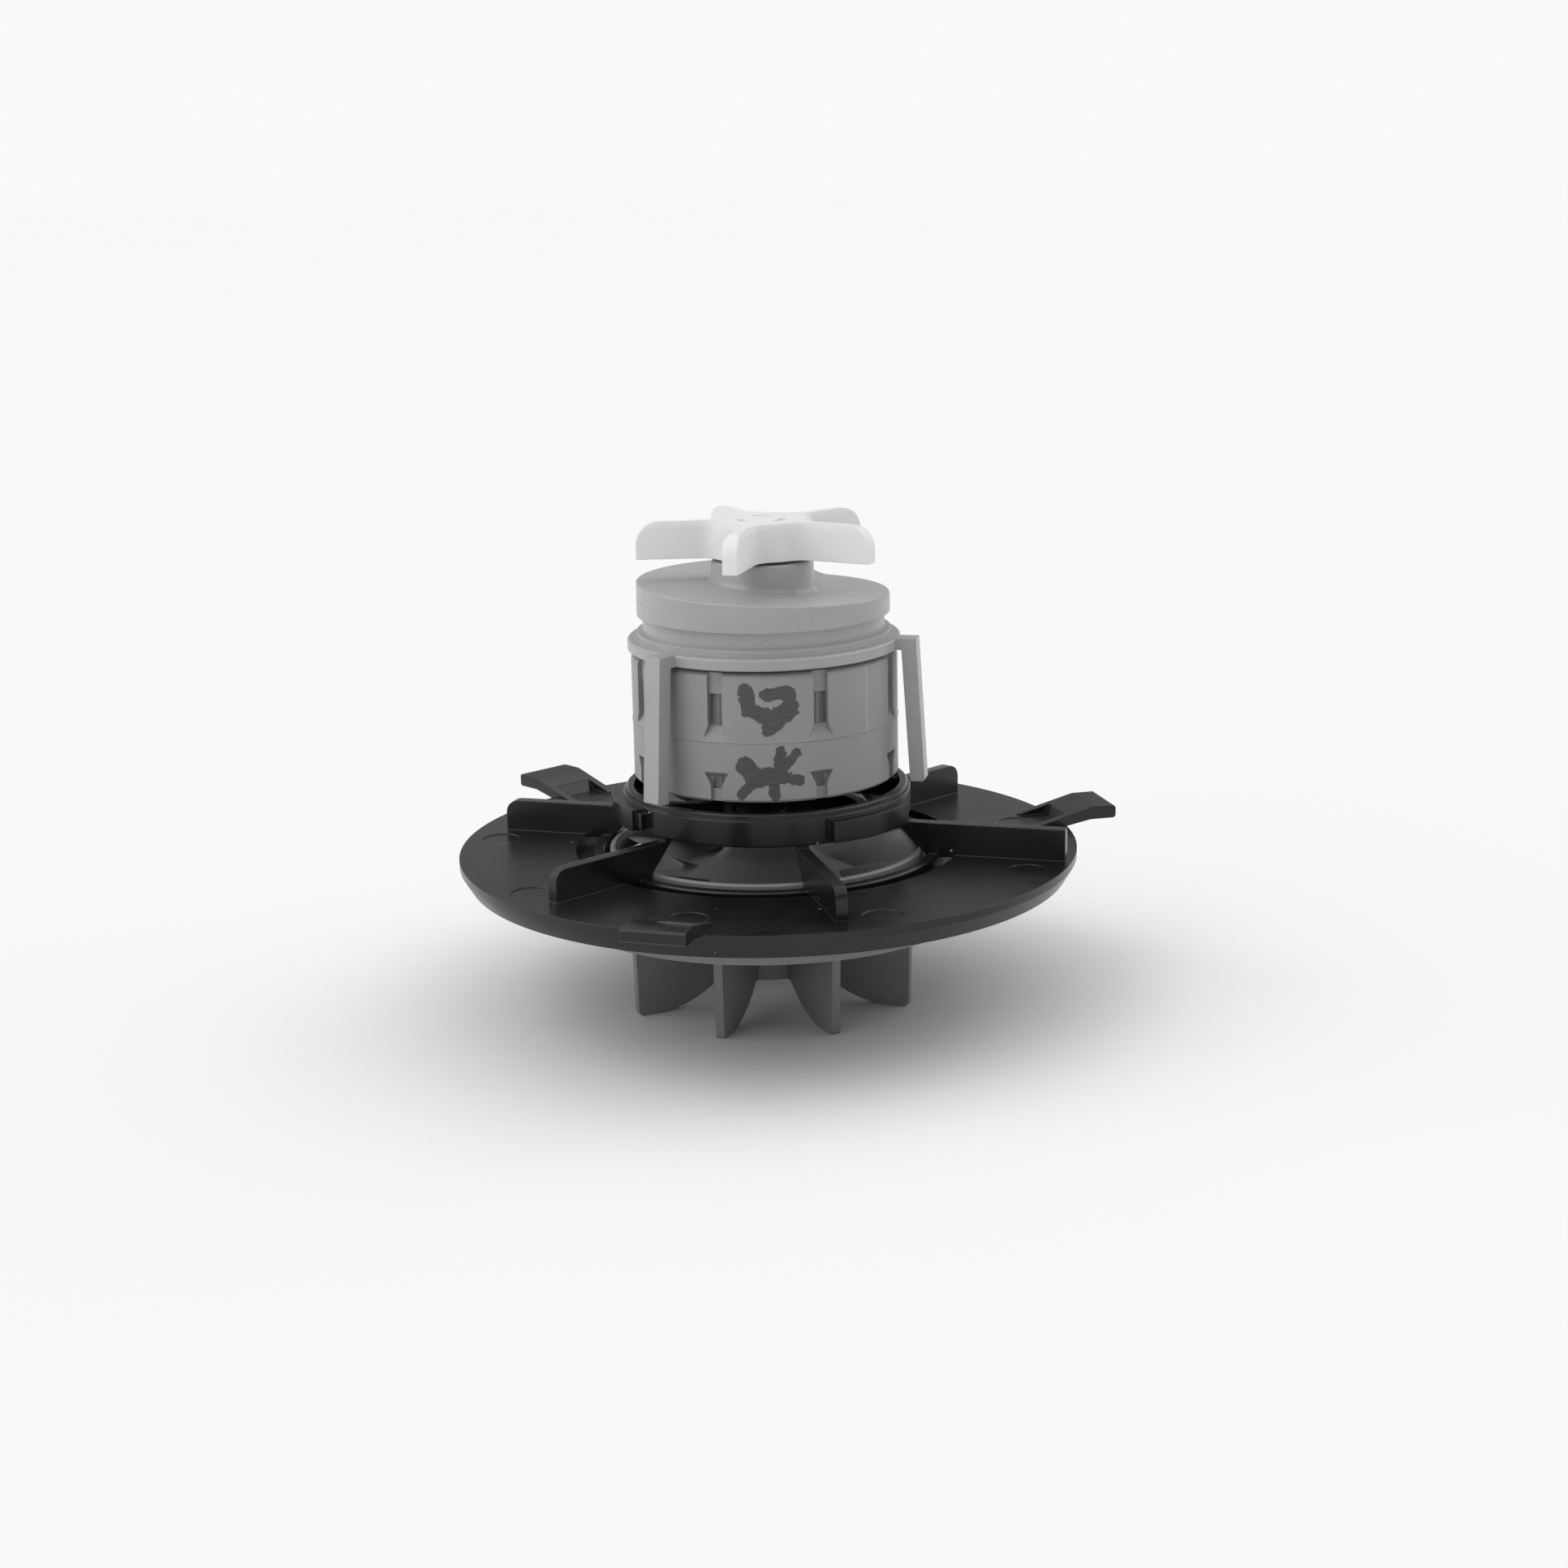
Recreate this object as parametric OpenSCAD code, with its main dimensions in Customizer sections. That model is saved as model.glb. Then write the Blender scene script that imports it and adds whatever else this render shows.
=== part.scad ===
// Motor rotor assembly, pulled from its stator: a magnet rotor between the bearing cap above
// and the guide spider below, with a pump impeller on top and a cooling fan underneath.
// Millimetres, +Z up along the shaft. The origin is on the shaft axis, in the plane of the
// guide disc's top face. Angle 0 points along -Y, and angles grow towards +X.

/* [Shaft] */
// Radius of the shaft at its bearings and wheels
shaft_r = 4; // [3.6:0.1:4.4]
// Radius of the shaft's thicker middle, under the yoke
shaft_mid_r = 5; // [4.6:0.1:5.6]
// Depth of the drive flats at both ends of the shaft
flat_depth = 0.8; // [0.4:0.1:1.2]

/* [Ball bearings] */
// Outer radius of a bearing
bearing_r = 11; // [10.5:0.1:12]
// Width of a bearing
bearing_w = 7; // [6:0.5:8]
// Radius of one ball
ball_r = 1.98; // [1.7:0.02:2.1]
// Number of balls in a bearing
ball_count = 7; // [6:1:7]
// Height of the lower bearing's bottom face
lower_bearing_z = 4.2; // [3.9:0.1:4.5]
// Running clearance round the balls
ball_gap = 0.04; // [0.02:0.01:0.08]

/* [Magnet rotor] */
// Outer radius of the moulded sleeve
sleeve_r = 26.6; // [25.8:0.1:26.7]
// Height of the sleeve's bottom face
sleeve_z = 15.3; // [14.8:0.1:16]
// Height of the sleeve from bottom to top face
sleeve_h = 25.3; // [24:0.1:25.4]
// Thickness of the plastic over the ends of the magnets
sleeve_end = 1.6; // [1.2:0.1:2]
// Thickness of the plastic round the magnets
sleeve_skin = 1.5; // [1.2:0.1:1.8]
// Outer radius of the steel yoke
yoke_r = 19; // [17:0.5:21]
// Number of magnets, and of windows in each row
magnet_count = 8; // [6:1:10]
// Angle of the plastic web between two magnets
magnet_web = 3; // [2:0.5:5]
// Angle of the first window column
window_turn = 24; // [0:1:45]
// Width of an upper window
upper_window_w = 3; // [2:0.1:4]
// Width of a lower window
lower_window_w = 2.4; // [1.8:0.1:3.4]
// Height of the mould joint above the sleeve's bottom face
joint_z = 11.8; // [11:0.1:13]

/* [Bearing cap] */
// Height of the flange's bottom face
cap_z = 41.1; // [41:0.1:41.6]
// Outer radius of the flange
flange_r = 27.2; // [26.8:0.1:27.6]
// Thickness of the flange
flange_h = 2.3; // [1.8:0.1:2.6]
// Outer radius of the band that plugs into the pump housing
band_r = 25.2; // [24.6:0.1:25.6]
// Depth of the seal groove below the band
groove_depth = 1.1; // [0.8:0.1:1.4]
// Height of the seal groove
groove_h = 3.1; // [2.6:0.1:3.4]
// Height of the band's straight wall
band_h = 3.5; // [3:0.1:4]
// Rise of the spiral floor above the band's straight wall
spiral_rise = 3.2; // [2:0.1:4]
// Wall thickness of the cap
cap_wall = 2; // [1.6:0.1:2.4]
// Radius of the boss round the shaft seal
boss_r = 10.2; // [9.6:0.1:10.8]
// Height of the boss above the band's straight wall
boss_h = 7; // [6:0.1:7.2]

/* [Cap fingers] */
// Number of fingers
finger_count = 3; // [2:1:4]
// Angle of the first finger
finger_turn = -43; // [-60:1:0]
// Width of a finger
finger_w = 4; // [3:0.1:5]
// Radial thickness of a finger at its tip
finger_t = 2.9; // [2.4:0.1:3.2]
// Outer radius of a finger at the flange
finger_top_r = 31.1; // [30.8:0.1:32]
// Outer radius of a finger at its tip
finger_tip_r = 32.7; // [32.2:0.1:34]
// Clearance between the finger tips and the spider ring
finger_gap = 1.2; // [0.6:0.1:3]

/* [Guide disc] */
// Radius of the disc at its top edge
disc_r = 62.5; // [60:0.5:66]
// Height of the disc's rim
rim_h = 4.8; // [4:0.1:6]
// Straight land at the top of the rim
land_h = 1.6; // [1:0.1:2]
// How far the rim tapers in below its land
rim_draft = 1.9; // [0:0.1:2.5]
// Thickness of the disc and of its rim
disc_wall = 2; // [1.6:0.1:2.4]
// Radius of the air inlet through the disc
inlet_r = 33.3; // [33:0.1:34.5]
// Width of the lip round the inlet
lip_w = 2.3; // [1.8:0.1:2.8]
// Outer radius of the groove round the lip
recess_r = 39; // [38.4:0.1:41]
// Depth of the groove round the lip
recess_depth = 1.9; // [1:0.1:2]
// Radius of an ejector mark
eject_r = 3.9; // [3:0.1:4.2]

/* [Ribs and ring] */
// Number of ribs
rib_count = 6; // [6]
// Angle of the first rib
rib_turn = 14; // [0:1:20]
// Thickness of a rib
rib_w = 2.3; // [1.8:0.1:2.8]
// Height of the ribs above the disc
rib_h = 6.4; // [5.6:0.1:6.8]
// Radius at the outer end of a short rib
rib_end_r = 56.4; // [54:0.2:57.5]
// Radius at the outer end of the long locating rib
long_rib_r = 61.2; // [59:0.2:61.8]
// Outer radius of the ring that takes the stator
ring_r = 29; // [28.6:0.1:29.4]
// Wall thickness of the ring
ring_wall = 2.1; // [1.8:0.1:2.3]
// Height of the ring's bottom edge above the disc
ring_z = 7; // [6.9:0.1:7.4]
// Height of the ring
ring_h = 6.4; // [6:0.1:6.6]
// Radial reach of a bayonet lug
lug_reach = 2.4; // [1.6:0.1:2.8]
// Angle that a bayonet lug covers
lug_span = 38; // [24:1:44]
// Number of curved arms that carry the lower bearing
arm_count = 6; // [4:1:8]

/* [Clips] */
// Angle of the first clip
clip_turn = -16.2; // [-22:0.1:-10]
// Width of a clip
clip_w = 12.4; // [10:0.1:15]
// Radius where a clip's slope starts
clip_root_r = 55.5; // [54:0.1:57]
// Radius where a clip's flat lip starts
clip_knee_r = 67.8; // [66:0.1:70]
// Length of a clip's flat lip
clip_lip = 5.1; // [3.6:0.1:7]
// Height of a clip's lip above the disc
clip_h = 3.6; // [3:0.1:4.4]
// Thickness of a clip's lip
clip_t = 2.6; // [2.2:0.1:2.8]

/* [Top impeller] */
// Number of impeller blades
blade_count = 5; // [4:1:6]
// Angle of the first impeller blade
blade_turn = -14; // [-36:1:36]
// Radius at the blade tips
blade_r = 25; // [23:0.5:26]
// Height of the impeller
impeller_h = 7.3; // [6.5:0.1:8]
// Thickness of a blade at its tip
blade_t = 2.8; // [2.2:0.1:3.4]
// Radius of the rounded outer corner of a blade
blade_round = 4.6; // [3:0.1:5.5]
// Radius of the impeller's hub
hub_r = 10; // [9.5:0.1:11]
// Running gap between the impeller and the boss
impeller_gap = 0.6; // [0.4:0.1:1]

/* [Lower fan] */
// Number of fan blades and of fins under the fan
fin_count = 8; // [6:1:9]
// Angle of the first fin
fin_turn = 25.5; // [0:0.5:45]
// Radius at the outer edge of a fin
fin_r = 29.8; // [28:0.1:31]
// Thickness of a fin
fin_t = 1.8; // [1.4:0.1:2.4]
// Height from the disc's top face down to the fin tips
fan_drop = 32; // [30:0.5:34]
// Height of the fin tips below the hub's end
tip_drop = 6; // [4:0.5:7]
// Radius of the fan's hub below its plate
fan_hub_r = 9.9; // [9:0.1:11]
// Radius of the fan's plate and shroud
fan_r = 43; // [41:0.5:45]
// Height from the disc's top face down to the plate's underside
plate_drop = 12; // [11.6:0.1:13]
// Thickness of the fan's plate and shroud
fan_wall = 1.5; // [1.2:0.1:1.8]
// Running gap between the fan's inlet lip and the disc
inlet_gap = 1.2; // [0.8:0.1:1.6]
// Thickness of a fan blade
vane_t = 1.2; // [1:0.1:1.6]
// Angle that a fan blade sweeps back from inlet to outlet
vane_sweep = 62; // [40:1:80]

/* [Fits] */
// Radial clearance of a part pressed or moulded round another
press_gap = 0.02; // [0.01:0.01:0.05]
// Radial running clearance between the shaft and the seal
seal_gap = 0.08; // [0.05:0.01:0.1]

/* [Hidden] */

$fn = 96;
cut = 0.5;                                      // overshoot of a cutting shape

// Heights along the shaft, from the fin tips up to the impeller
fin_tip_z = -fan_drop;
fan_hub_z = fin_tip_z + tip_drop;
plate_z = -plate_drop;
magnet_z = sleeve_z + sleeve_end;
magnet_h = sleeve_h - 2 * sleeve_end;
magnet_top = magnet_z + magnet_h;
spacer_h = 2.7;                                 // length of the spacer above the yoke
upper_bearing_z = magnet_top + spacer_h;
spring_h = 0.8;                                 // space left for the wave spring
pocket_top = upper_bearing_z + bearing_w + spring_h;
lip_top_z = cap_z + flange_h + 1.3;             // top of the lip below the seal groove
band_z = lip_top_z + 0.26 + groove_h;
band_top = band_z + band_h;
deck_z = band_top - 0.4;                        // where the spiral floor's wall takes over
boss_top = band_top + boss_h;
impeller_z = boss_top + impeller_gap;
impeller_top = impeller_z + impeller_h;
ring_top = ring_z + ring_h;
finger_tip_z = ring_top + finger_gap;
shaft_low = fan_hub_z + 3.6;
shaft_high = impeller_top - 2.2;
fan_flat_top = shaft_low + 18;                  // where the fan's drive flat on the shaft ends

// Ball bearing proportions, from its bore, outside and balls
pitch_r = (shaft_r + bearing_r) / 2;
inner_race_r = pitch_r - ball_r * 0.62;
outer_race_r = pitch_r + ball_r * 0.76;
chamfer = 0.3;

// Rotor and sleeve
magnet_r = sleeve_r - sleeve_skin;
magnet_step = 360 / magnet_count;
cover_hole_r = 9;                               // opening in the sleeve's end covers
spacer_r = 6.1;

// Cap
groove_r = band_r - groove_depth;
cap_inner_r = groove_r - cap_wall;
pocket_wall = 2.4;
seal_r = 7.5;
seal_h = 4.2;
seal_z = boss_top - seal_h - 0.8;
spiral_steps = 120;

// Guide spider
lip_r = inlet_r + lip_w;
lip_bottom = -recess_depth - 1.8;
ring_in_r = ring_r - ring_wall;
hub_wall = 2.4;
carrier_z = lower_bearing_z - 1.5;
circlip_h = 1;
clip_end_r = clip_knee_r + clip_lip;            // a clip's free end
carrier_top = lower_bearing_z + bearing_w + circlip_h + 0.6;
lug_turn = 43.5;

// Fan
fan_lip_r = inlet_r - inlet_gap;
fan_lip_top = 0.5;
shroud_neck_z = lip_bottom - 1;
washer_h = 0.8;
screw_r = 2;

// Turns the +X axis to an angle counted from -Y towards +X
module at(angle) {
    rotate([0, 0, angle - 90]) children();
}

// Upright plate of width w centred on the radial plane, outlined by radius and height
module radial_plate(w, outline) {
    rotate([90, 0, 0]) linear_extrude(height = w, center = true) polygon(outline);
}

// Solid ring with a rectangular section
module tube(r_out, r_in, z, h) {
    translate([0, 0, z]) difference() {
        cylinder(r = r_out, h = h);
        translate([0, 0, -cut]) cylinder(r = r_in, h = h + 2 * cut);
    }
}

// Part of a ring between two angles, both counted as in at()
module arc_block(r_out, r_in, z, h, from, span) {
    at(from) rotate_extrude(angle = span)
        translate([r_in, z]) square([r_out - r_in, h]);
}

// Points of an arc
function arc(cx, cy, r, a0, a1, n) =
    [for (i = [0:n]) let (a = a0 + (a1 - a0) * i / n) [cx + r * cos(a), cy + r * sin(a)]];

// Smooth step from 0 to 1
function ease(t) = let (s = max(0, min(1, t))) s * s * (3 - 2 * s);

// Linear blend of two values or points
function mix(a, b, t) = a + (b - a) * t;

// Point on a quadratic curve through two ends and a control point
function bend(a, b, c, t) = mix(mix(a, b, t), mix(b, c, t), t);

// Turned shaft with a thicker middle, drive flats and a tapped lower end
module shaft() {
    tapped = 12;                                // depth of the tapped hole
    flat_high = shaft_high - impeller_z;
    flat_x = shaft_r - flat_depth;
    color("silver") difference() {
        union() {
            translate([0, 0, shaft_low + chamfer])
                cylinder(r = shaft_r, h = shaft_high - shaft_low - 2 * chamfer);
            translate([0, 0, shaft_low])
                cylinder(r1 = shaft_r - chamfer, r2 = shaft_r, h = chamfer);
            translate([0, 0, shaft_high - chamfer])
                cylinder(r1 = shaft_r, r2 = shaft_r - chamfer, h = chamfer);
            translate([0, 0, magnet_z]) cylinder(r = shaft_mid_r, h = magnet_h);
        }
        translate([flat_x, -shaft_r, shaft_low - cut])
            cube([shaft_r, 2 * shaft_r, fan_flat_top - shaft_low + cut]);
        translate([flat_x, -shaft_r, impeller_z])
            cube([shaft_r, 2 * shaft_r, flat_high + cut]);
        translate([0, 0, shaft_low - cut]) cylinder(r = screw_r + press_gap, h = tapped + cut);
    }
}

// Round bore of length h with a flat over its lowest flat_h, which fits the shaft's drive flats
module drive_bore(z, h, flat_h) {
    r = shaft_r + press_gap;
    translate([0, 0, z]) difference() {
        cylinder(r = r, h = h);
        translate([r - flat_depth, -r, -cut]) cube([r, 2 * r, flat_h + cut]);
    }
}

// Laminated steel yoke with round lightening holes
module rotor_yoke() {
    hole_r = 2.6;
    color("dimgray") difference() {
        tube(yoke_r, shaft_mid_r + press_gap, magnet_z, magnet_h);
        for (i = [0:magnet_count - 1])
            at(window_turn + (i + 0.5) * magnet_step)
                translate([(yoke_r + shaft_mid_r) / 2 + 0.6, 0, magnet_z - cut])
                    cylinder(r = hole_r, h = magnet_h + 2 * cut);
    }
}

// Outline of one magnet, grown by a clearance
module magnet_body(grow) {
    span = magnet_step - magnet_web + 2 * asin(grow / yoke_r);
    arc_block(magnet_r + grow, yoke_r + press_gap - grow, magnet_z - grow,
              magnet_h + 2 * grow, -span / 2, span);
}

// Arc magnet behind one column of windows
module magnet(i) {
    color("darkslategray") rotate([0, 0, window_turn + (i - 1) * magnet_step]) magnet_body(0);
}

// Cutter for one column of windows: a tall one above the mould joint and a short one below
module window_column() {
    joint = sleeve_z + joint_z;
    depth = sleeve_skin - 0.5;                  // depth of the pockets round the windows
    pocket_r = sleeve_r - depth;
    far = sleeve_r + 2;
    sill = joint + 3.1;                         // bottom edge of the upper window
    head = magnet_top - 2.6;                    // top edge of the upper window
    low_sill = sleeve_z + 2.4;
    low_head = sleeve_z + 4.8;
    flare = 1.3;
    reach = far - magnet_r + 1;
    // Upper window through the skin, with its pocket above and its ramp below
    translate([magnet_r - 1, -upper_window_w / 2, sill])
        cube([reach, upper_window_w, head - sill]);
    translate([pocket_r, -upper_window_w / 2, sill])
        cube([far - pocket_r, upper_window_w, magnet_top + sleeve_end - sill + cut]);
    intersection() {
        radial_plate(3 * upper_window_w,
            [[magnet_r, sill], [far, sill], [far, joint + 0.4], [sleeve_r, joint + 0.4]]);
        rotate([90, 0, 90]) linear_extrude(height = far)
            polygon([[-upper_window_w / 2, sill], [upper_window_w / 2, sill],
                     [upper_window_w / 2 + flare, joint], [-upper_window_w / 2 - flare, joint]]);
    }
    // Lower window through the skin, with its pocket below and a sloped hood above
    translate([magnet_r - 1, -lower_window_w / 2, low_sill])
        cube([reach, lower_window_w, low_head - low_sill]);
    translate([pocket_r, -lower_window_w / 2, sleeve_z - cut])
        cube([far - pocket_r, lower_window_w, low_head - sleeve_z + cut]);
    intersection() {
        radial_plate(3 * lower_window_w,
            [[magnet_r, low_head], [sleeve_r, low_head + 1], [far, low_head + 1], [far, low_sill],
             [magnet_r, low_sill]]);
        rotate([90, 0, 90]) linear_extrude(height = far)
            polygon([[-lower_window_w / 2, low_sill + 0.8], [lower_window_w / 2, low_sill + 0.8],
                     [lower_window_w / 2 + flare, low_head + 1],
                     [-lower_window_w / 2 - flare, low_head + 1]]);
    }
}

// Plastic moulded round the yoke and magnets, with windows where the mould held the magnets
module rotor_sleeve() {
    top = sleeve_z + sleeve_h;
    joint = sleeve_z + joint_z;
    shoulder = 1.4;                             // rounded upper edge
    ridge = 0.12;                               // height of the mould joint's ridge
    foot = 0.5;
    color("gray") difference() {
        rotate_extrude() polygon(concat(
            [[cover_hole_r, sleeve_z], [sleeve_r - foot, sleeve_z], [sleeve_r, sleeve_z + foot],
             [sleeve_r, joint - ridge], [sleeve_r + ridge, joint - ridge / 2],
             [sleeve_r + ridge, joint + ridge / 2], [sleeve_r, joint + ridge]],
            arc(sleeve_r - shoulder, top - shoulder, shoulder, 0, 90, 8),
            [[cover_hole_r, top]]));
        at(window_turn) translate([0, 0, magnet_z - press_gap])
            cylinder(r = yoke_r + press_gap, h = magnet_h + 2 * press_gap);
        for (i = [0:magnet_count - 1]) {
            rotate([0, 0, window_turn + i * magnet_step]) magnet_body(press_gap);
            at(window_turn + i * magnet_step) window_column();
        }
    }
}

// Spacer between the yoke and a bearing
module spacer(z, h) {
    color("lightsteelblue") tube(spacer_r, shaft_r + press_gap, z, h);
}

// Inner ring of a ball bearing with its bottom face at z
module inner_race(z) {
    color("lightgray") translate([0, 0, z]) rotate_extrude() difference() {
        polygon([[shaft_r + press_gap, chamfer], [shaft_r + chamfer, 0], [inner_race_r, 0],
                 [inner_race_r, bearing_w], [shaft_r + chamfer, bearing_w],
                 [shaft_r + press_gap, bearing_w - chamfer]]);
        translate([pitch_r, bearing_w / 2]) circle(r = ball_r + ball_gap);
    }
}

// Outer ring of a ball bearing with its bottom face at z
module outer_race(z) {
    color("lightgray") translate([0, 0, z]) rotate_extrude() difference() {
        polygon([[outer_race_r, 0], [bearing_r - chamfer, 0], [bearing_r, chamfer],
                 [bearing_r, bearing_w - chamfer], [bearing_r - chamfer, bearing_w],
                 [outer_race_r, bearing_w]]);
        translate([pitch_r, bearing_w / 2]) circle(r = ball_r + ball_gap);
    }
}

// Places a child at each ball of a bearing
module each_ball(z) {
    for (i = [0:ball_count - 1])
        rotate([0, 0, i * 360 / ball_count]) translate([pitch_r, 0, z + bearing_w / 2]) children();
}

// Balls of one bearing
module bearing_balls(z) {
    color("white") each_ball(z) sphere(r = ball_r, $fn = 48);
}

// Cage that spaces the balls
module bearing_cage(z) {
    cage_h = 2 * ball_r + 1;
    color("tan") difference() {
        tube(pitch_r + 0.6, pitch_r - 0.6, z + (bearing_w - cage_h) / 2, cage_h);
        each_ball(z) sphere(r = ball_r + 0.1, $fn = 48);
    }
}

// The two dust shields of a bearing
module bearing_shields(z) {
    shield_t = 0.4;
    inset = 0.25;
    color("black") for (s = [z + inset, z + bearing_w - inset - shield_t])
        tube(outer_race_r - press_gap, inner_race_r + 0.15, s, shield_t);
}

// Plan of the impeller: tapered blades that run into the hub through wide fillets
module impeller_plan() {
    fillet = 4;
    root_t = blade_t + 1.6;
    offset(r = -fillet, $fn = 48) offset(r = fillet, $fn = 48) union() {
        circle(r = hub_r, $fn = 64);
        for (i = [0:blade_count - 1])
            rotate(blade_turn - 90 + i * 360 / blade_count)
                polygon([[0, -root_t / 2], [blade_r + 1, -blade_t / 2], [blade_r + 1, blade_t / 2],
                         [0, root_t / 2]]);
    }
}

// Impeller with open blades whose outer upper corners are rounded
module top_impeller() {
    crown = 0.9;                                // rounding of the upper edges
    mark_r = 4.4;
    mark_turn = 155;                            // angle where the first recess in the top starts
    mark_span = 50;
    bore_h = shaft_high - impeller_z + cut + press_gap;
    color("white") difference() {
        intersection() {
            union() {
                translate([0, 0, impeller_z]) linear_extrude(height = impeller_h - crown)
                    impeller_plan();
                for (step = [1:3]) let (rise = crown * sin(step * 30), inset = crown * (1 - cos(step * 30)))
                    translate([0, 0, impeller_z]) linear_extrude(height = impeller_h - crown + rise)
                        offset(delta = -inset) impeller_plan();
            }
            rotate_extrude() polygon(concat(
                [[0, impeller_z], [blade_r, impeller_z]],
                arc(blade_r - blade_round, impeller_top - blade_round, blade_round, 0, 90, 10),
                [[0, impeller_top]]));
        }
        drive_bore(impeller_z - cut, bore_h, bore_h + cut);
        for (i = [0:2])
            arc_block(mark_r + 0.7, mark_r - 0.7, impeller_top - 0.4, 1, mark_turn + i * 120, mark_span);
    }
}

// Curves of the fan in radius and height, from inlet (t = 0) to outlet (t = 1)
function hub_curve(t) =
    bend([7.2, 1], [15, plate_z + 1.2 * fan_wall], [fan_r, plate_z + fan_wall], t);
function shroud_curve(t) =
    bend([fan_lip_r - fan_wall, -0.6], [fan_lip_r - 0.6, shroud_neck_z - 2.2],
         [fan_r, shroud_neck_z - fan_wall - 0.6], t);

// One swept blade between the hub and the shroud, as a lofted grid of points
module fan_vane() {
    along = 10;
    across = 5;
    lead = 9;                                   // how far the hub end of the blade leans forward
    sink = 0.7;                                 // how far the blade runs into hub and shroud
    pts = [for (side = [-1, 1]) for (i = [0:along]) for (j = [0:across])
        let (s = i / along, q = j / across,
             hub = hub_curve(mix(0.30, 0.97, s)) - [0, sink],
             top = shroud_curve(mix(0.04, 0.97, s)) + [sink * 0.6, s > 0.3 ? sink : sink * 0.2],
             p = mix(hub, top, q),
             turn = -vane_sweep * pow(s, 0.85) + lead * (1 - q) * (1 - s)
                    + side * asin(vane_t / 2 / max(p[0], 8)))
            [p[0] * cos(turn), p[0] * sin(turn), p[1]]];
    n = across + 1;
    m = (along + 1) * n;
    function quad(a, b, c, d) = [[a, b, c], [a, c, d]];
    faces = concat(
        [for (i = [0:along - 1]) for (j = [0:across - 1]) for (f = quad(
            i * n + j, i * n + j + 1, (i + 1) * n + j + 1, (i + 1) * n + j)) f],
        [for (i = [0:along - 1]) for (j = [0:across - 1]) for (f = quad(
            m + i * n + j, m + (i + 1) * n + j, m + (i + 1) * n + j + 1, m + i * n + j + 1)) f],
        [for (i = [0:along - 1]) for (f = quad(
            i * n, (i + 1) * n, m + (i + 1) * n, m + i * n)) f],
        [for (i = [0:along - 1]) for (f = quad(
            i * n + across, m + i * n + across, m + (i + 1) * n + across,
            (i + 1) * n + across)) f],
        [for (j = [0:across - 1]) for (f = quad(j, m + j, m + j + 1, j + 1)) f],
        [for (j = [0:across - 1]) for (f = quad(
            along * n + j, along * n + j + 1, m + along * n + j + 1, m + along * n + j)) f]);
    polyhedron(points = pts, faces = faces, convexity = 6);
}

// Upright fin under the fan's plate, its lower edge swept up to the hub
module fan_fin() {
    knee_r = fin_r - 5.8;
    round = 1;
    radial_plate(fin_t, concat(
        [[fan_hub_r - 1, plate_z + 0.4], [fin_r + 0.6, plate_z + 0.4], [fin_r, fin_tip_z + round]],
        arc(fin_r - round, fin_tip_z + round, round, 0, -90, 4),
        [for (i = [0:8]) bend([knee_r, fin_tip_z], [mix(fan_hub_r, knee_r, 0.45), fin_tip_z + 1.2],
                              [fan_hub_r + 1.5, fan_hub_z], i / 8)],
        [[fan_hub_r - 1, fan_hub_z]]));
}

// Closed fan wheel: inlet shroud, swept blades, plate and hub above, plain fins below
module lower_fan() {
    steps = 14;
    seat_r = 5.9;                               // neck that meets the bearing's inner ring
    bore_wall = 3;
    screw_pocket_r = 5.2;
    color("gray") difference() {
        union() {
            rotate_extrude() polygon(concat(
                [[0, lower_bearing_z], [seat_r, lower_bearing_z], [seat_r + 0.4, 1.6]],
                [for (i = [0:steps]) hub_curve(i / steps)],
                [[fan_r, plate_z], [fan_hub_r + 4, plate_z], [fan_hub_r, plate_z - 2],
                 [fan_hub_r, fan_hub_z], [0, fan_hub_z]]));
            rotate_extrude() polygon(concat(
                [for (i = [0:steps]) shroud_curve(i / steps)],
                [[fan_r, shroud_neck_z - 0.6]],
                [for (i = [0:4]) bend([fan_lip_r + 5, shroud_neck_z - 0.2],
                                      [fan_lip_r + 0.2, shroud_neck_z],
                                      [fan_lip_r, shroud_neck_z + 2.4], i / 4)],
                [[fan_lip_r, fan_lip_top - 0.3], [fan_lip_r - 0.3, fan_lip_top],
                 [fan_lip_r - fan_wall + 0.5, fan_lip_top]]));
            for (i = [0:fin_count - 1]) {
                at(fin_turn + i * 360 / fin_count) fan_fin();
                at(fin_turn + i * 360 / fin_count) fan_vane();
            }
        }
        drive_bore(fan_hub_z - cut, lower_bearing_z - fan_hub_z + 2 * cut,
                   fan_flat_top - press_gap - fan_hub_z + cut);
        translate([0, 0, fan_hub_z - cut]) cylinder(r = screw_pocket_r, h = bore_wall + cut);
    }
}

// Washer under the fan's screw
module fan_washer() {
    color("silver") tube(4.8, screw_r + 0.15, fan_hub_z + 3 - washer_h, washer_h);
}

// Screw that holds the fan on the shaft
module fan_screw() {
    head_h = 2;
    head_z = fan_hub_z + 3 - washer_h - head_h;
    shank = 11;
    color("silver") difference() {
        union() {
            translate([0, 0, head_z + 0.6]) cylinder(r = 3.6, h = head_h - 0.6);
            translate([0, 0, head_z]) cylinder(r1 = 3, r2 = 3.6, h = 0.6);
            translate([0, 0, head_z + head_h - cut]) cylinder(r = screw_r, h = shank + cut);
        }
        for (a = [45, 135]) rotate([0, 0, a]) translate([-1.9, -0.35, head_z - cut])
            cube([3.8, 0.7, 1 + cut]);
    }
}

// Height of the cap's spiral floor at an angle: highest behind the left side, lowest right behind
function spiral_floor(angle) =
    let (fall = ease((angle + 100) / 250) * 0.45 + 0.55 * max(0, min(1, (angle + 90) / 170)),
         climb = ease((angle - 148) / 22))
    band_top + spiral_rise * (1 - fall * (1 - climb));

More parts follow.
